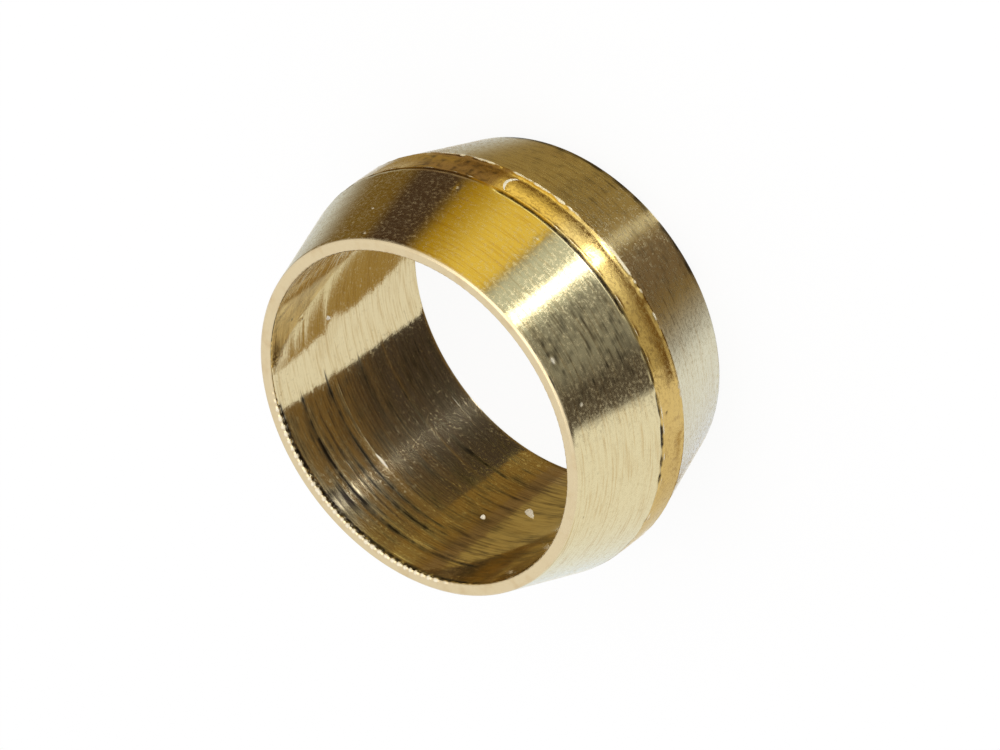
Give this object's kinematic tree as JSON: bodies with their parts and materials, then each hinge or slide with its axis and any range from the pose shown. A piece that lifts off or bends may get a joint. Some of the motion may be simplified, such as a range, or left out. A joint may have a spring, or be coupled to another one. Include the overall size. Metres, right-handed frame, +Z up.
{
  "type": "compression olive",
  "caption": "Turned brass ring with opposed sealing cones, a narrow raw land between them and a plain bore that slides onto a pipe.",
  "frame": {"origin": "centre of the rear end face, on which the ring stands", "axes": "+Z up the bore axis from the rear end to the nose end; X and Y are free, because the ring is round"},
  "size_m": [0.015, 0.015, 0.008],
  "materials": {
    "turned_brass": "turned, uncoated, with fine tool lines and small burrs"
  },
  "bodies": {
    "root": {"olive": "turned_brass"}
  },
  "joints": []
}
